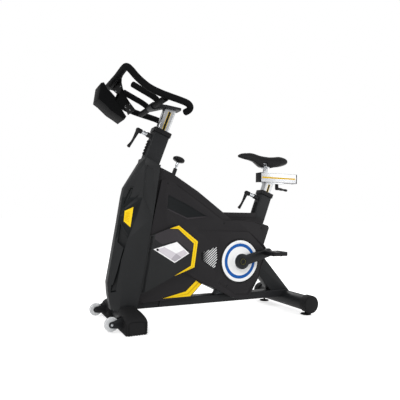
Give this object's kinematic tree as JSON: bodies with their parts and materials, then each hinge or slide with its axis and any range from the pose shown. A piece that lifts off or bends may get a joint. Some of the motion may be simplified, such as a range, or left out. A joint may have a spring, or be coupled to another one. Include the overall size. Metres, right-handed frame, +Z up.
{
  "type": "indoor spin bike",
  "caption": "Indoor cycling bike with enclosed flywheel and belt drive, lever-clamped sliding handlebar and saddle posts, turning cranks, resistance knob and transport wheels.",
  "frame": {"origin": "floor level, at the middle of the bounding box in X and Y", "axes": "-X towards the front wheels and handlebar, +Y to the rider's right, +Z up"},
  "size_m": [1.168, 0.482, 1.1811],
  "materials": {
    "frame_metal": "satin black powder coat",
    "inner_metal": "grey primer, hidden inside",
    "cover_plastic": "matte charcoal moulding",
    "front_plastic": "matte dark grey moulding",
    "black_plastic": "black moulding",
    "rubber": "black rubber",
    "badge": "white faceted plate",
    "yellow": "yellow accent",
    "white_disc": "white disc with blue ring",
    "steel": "machined steel",
    "crank_metal": "black alloy crank",
    "belt": "ribbed belt",
    "iron": "turned flywheel",
    "wheel_plastic": "translucent light grey wheel",
    "polished": "polished rectangular tube",
    "bar_grip": "black dipped bar covering",
    "panel_plastic": "black panel and tray",
    "saddle_skin": "black synthetic saddle cover",
    "lever_mix": "black lever with chrome barrel"
  },
  "bodies": {
    "frame": {"base_beam": "frame_metal", "front_stabilizer": "frame_metal", "rear_stabilizer": "frame_metal", "front_boots": "rubber", "rear_caps": "black_plastic", "wheel_brackets": "frame_metal", "front_upright": "inner_metal", "front_post": "frame_metal", "seat_tube": "frame_metal", "post_collars": "black_plastic", "stop_strips": "black_plastic", "rear_leg": "frame_metal", "bottom_bracket": "inner_metal", "bearings": "steel", "flywheel_brackets": "inner_metal", "shell_left": "cover_plastic", "shell_right": "cover_plastic", "front_cover": "front_plastic", "rear_cover": "cover_plastic", "side_fairings": "front_plastic", "badges": "badge", "yellow_trims": "yellow", "cover_screws": "black_plastic", "knob_bush": "black_plastic", "drive_belt": "belt"},
    "crankset": {"crank_spindle": "steel", "drive_pulley": "inner_metal", "disc_covers": "white_disc", "crank_left": "crank_metal", "crank_right": "crank_metal", "crank_caps": "black_plastic", "pedal_spindles": "steel"},
    "pedal_left": {"pedal_left": "black_plastic"},
    "pedal_right": {"pedal_right": "black_plastic"},
    "flywheel": {"flywheel": "iron", "flywheel_axle": "steel"},
    "idler": {"idler_wheel": "steel"},
    "wheel_left": {"transport_wheel_left": "wheel_plastic"},
    "wheel_right": {"transport_wheel_right": "wheel_plastic"},
    "foot_left": {"foot_left": "rubber"},
    "foot_right": {"foot_right": "rubber"},
    "handlebar": {"handlebar_slider": "polished", "handlebar_stem": "frame_metal", "crossbar": "bar_grip", "handlebar_left": "bar_grip", "handlebar_right": "bar_grip", "front_panel": "panel_plastic", "holder": "panel_plastic"},
    "seat_post": {"seat_slider": "polished"},
    "carriage": {"saddle_rail": "polished", "rail_caps": "black_plastic", "saddle_pin": "steel"},
    "saddle_top": {"saddle_clamp": "frame_metal", "saddle": "saddle_skin"},
    "post_lever": {"post_lever": "lever_mix"},
    "seat_lever": {"seat_lever": "lever_mix"},
    "rail_lever": {"rail_lever": "lever_mix"},
    "knob": {"knob": "black_plastic"},
    "brake_rod": {"brake_rod": "steel"},
    "magnet_arm": {"magnet_arm": "inner_metal"}
  },
  "joints": [
    {"name": "crank_spin", "type": "hinge", "parent": "frame", "child": "crankset", "pos_m": [0.169, 0, 0.283], "axis": [0, 1, 0], "continuous": true},
    {"name": "pedal_left_spin", "type": "hinge", "parent": "crankset", "child": "pedal_left", "pos_m": [0.33344, -0.16, 0.32614], "axis": [0, 1, 0], "continuous": true},
    {"name": "pedal_right_spin", "type": "hinge", "parent": "crankset", "child": "pedal_right", "pos_m": [0.00456, 0.16, 0.23986], "axis": [0, 1, 0], "continuous": true},
    {"name": "flywheel_spin", "type": "hinge", "parent": "frame", "child": "flywheel", "pos_m": [-0.192, 0, 0.31], "axis": [0, 1, 0], "continuous": true},
    {"name": "idler_spin", "type": "hinge", "parent": "frame", "child": "idler", "pos_m": [-0.1014, 0.058, 0.23915], "axis": [0, 1, 0], "continuous": true},
    {"name": "wheel_left_spin", "type": "hinge", "parent": "frame", "child": "wheel_left", "pos_m": [-0.5256, -0.1575, 0.041], "axis": [0, 1, 0], "continuous": true},
    {"name": "wheel_right_spin", "type": "hinge", "parent": "frame", "child": "wheel_right", "pos_m": [-0.5256, 0.1575, 0.041], "axis": [0, 1, 0], "continuous": true},
    {"name": "foot_left_turn", "type": "hinge", "parent": "frame", "child": "foot_left", "pos_m": [0.514, -0.1925, 0.01], "axis": [0, 0, 1], "range_deg": [-360, 360]},
    {"name": "foot_right_turn", "type": "hinge", "parent": "frame", "child": "foot_right", "pos_m": [0.514, 0.1925, 0.01], "axis": [0, 0, 1], "range_deg": [-360, 360]},
    {"name": "handlebar_height", "type": "slide", "parent": "frame", "child": "handlebar", "axis": [0.342, 0, 0.9397], "range_m": [-0.09, 0.1]},
    {"name": "seat_height", "type": "slide", "parent": "frame", "child": "seat_post", "axis": [0.342, 0, 0.9397], "range_m": [-0.03, 0.18]},
    {"name": "seat_fore_aft", "type": "slide", "parent": "seat_post", "child": "carriage", "axis": [1, 0, 0], "range_m": [-0.08, 0.015]},
    {"name": "saddle_tilt", "type": "hinge", "parent": "carriage", "child": "saddle_top", "pos_m": [0.377, 0, 0.803], "axis": [0, 1, 0], "range_deg": [-10, 10]},
    {"name": "post_lever_turn", "type": "hinge", "parent": "frame", "child": "post_lever", "pos_m": [-0.26807, 0, 0.89383], "axis": [-0.9397, 0, 0.342], "range_deg": [-90, 90]},
    {"name": "seat_lever_turn", "type": "hinge", "parent": "frame", "child": "seat_lever", "pos_m": [0.36093, 0, 0.60883], "axis": [-0.9397, 0, 0.342], "range_deg": [-90, 90]},
    {"name": "rail_lever_turn", "type": "hinge", "parent": "seat_post", "child": "rail_lever", "pos_m": [0.458, 0, 0.703], "axis": [0, 0, 1], "range_deg": [-80, 80]},
    {"name": "brake_push", "type": "slide", "parent": "frame", "child": "brake_rod", "axis": [-0.342, 0, -0.9397], "range_m": [0, 0.01], "stiffness_N_per_m": 1500},
    {"name": "resistance_turn", "type": "hinge", "parent": "brake_rod", "child": "knob", "pos_m": [-0.155, 0, 0.802], "axis": [0.342, 0, 0.9397], "range_deg": [0, 1080]},
    {"name": "magnet_arm_swing", "type": "hinge", "parent": "frame", "child": "magnet_arm", "pos_m": [-0.342, 0, 0.514], "axis": [0, 1, 0], "range_deg": [0, 6]}
  ],
  "couplings": [
    {"joint": "flywheel_spin", "follows": "crank_spin", "ratio": 4},
    {"joint": "idler_spin", "follows": "crank_spin", "ratio": -6.4},
    {"joint": "magnet_arm_swing", "follows": "resistance_turn", "ratio": 0.005556}
  ]
}
